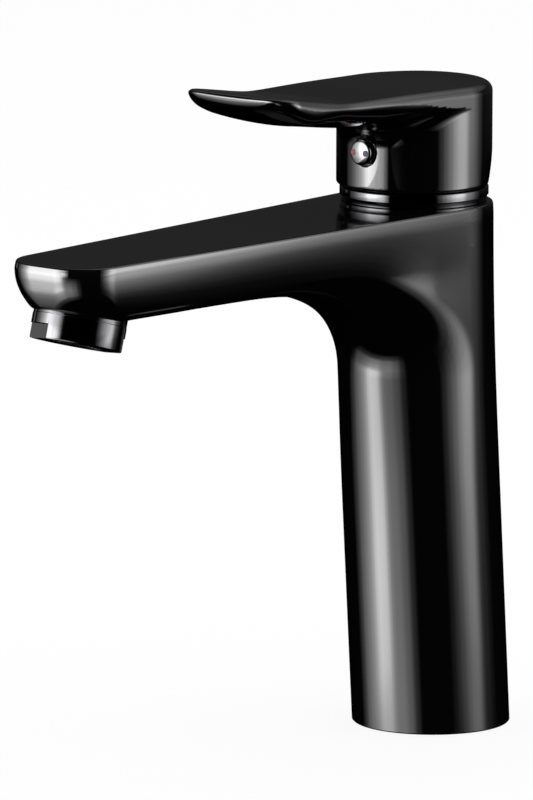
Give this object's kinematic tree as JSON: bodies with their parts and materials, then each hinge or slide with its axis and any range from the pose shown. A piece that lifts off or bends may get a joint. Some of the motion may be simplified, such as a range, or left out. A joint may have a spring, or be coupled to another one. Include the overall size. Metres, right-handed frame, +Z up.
{
  "type": "basin mixer faucet",
  "caption": "Deck-mounted single-lever basin mixer: leaning round column, long flat spout with a tilted aerator, and a flat paddle lever that lifts for flow and swivels for temperature.",
  "frame": {"origin": "centre of the foot of the column on the deck plane", "axes": "+Z up from the deck, -Y along the spout towards the basin, +X to the cold side"},
  "size_m": [0.051, 0.2018, 0.202],
  "materials": {
    "gloss_black": "gloss",
    "black_chrome": "mirror",
    "plug_chrome": "mirror",
    "brass": "machined",
    "stainless": "turned",
    "ceramic_white": "lapped",
    "plastic_grey": "moulded",
    "plastic_white": "moulded",
    "seal_rubber": "matt",
    "mark_red": "gloss",
    "mark_blue": "gloss"
  },
  "bodies": {
    "body": {"body_column": "gloss_black", "body_inlet_floor": "gloss_black", "body_head_and_spout": "gloss_black", "base_insert": "brass", "base_gasket": "seal_rubber", "trim_ring": "black_chrome", "cartridge_nut": "brass", "cartridge_housing": "plastic_grey", "cartridge_base": "plastic_white", "hot_port_seal": "seal_rubber", "cold_port_seal": "seal_rubber", "disc_gasket": "seal_rubber", "fixed_disc": "ceramic_white", "aerator_housing": "black_chrome", "aerator_washer": "seal_rubber", "aerator_cage": "plastic_white", "aerator_screen": "plastic_grey"},
    "rotor": {"cartridge_rotor": "plastic_white", "stem_pin": "stainless"},
    "lever": {"lever_stem": "brass", "handle_shell": "gloss_black", "handle_grub_screw": "stainless", "index_plug": "plug_chrome", "index_mark_hot": "mark_red", "index_mark_cold": "mark_blue"},
    "carrier": {"disc_carrier": "plastic_white", "carrier_seal": "seal_rubber", "moving_disc": "ceramic_white"}
  },
  "joints": [
    {"name": "swivel", "type": "hinge", "parent": "body", "child": "rotor", "pos_m": [0, -0.0093, 0.1506], "axis": [0, 0, 1], "range_deg": [-45, 45]},
    {"name": "lift", "type": "hinge", "parent": "rotor", "child": "lever", "pos_m": [0, -0.0093, 0.1506], "axis": [-1, 0, 0], "range_deg": [0, 16]},
    {"name": "disc_slide", "type": "slide", "parent": "rotor", "child": "carrier", "axis": [0, -1, 0], "range_m": [0, 0.0035]}
  ],
  "couplings": [
    {"joint": "disc_slide", "follows": "lift", "m_per_rad": 0.0123}
  ]
}
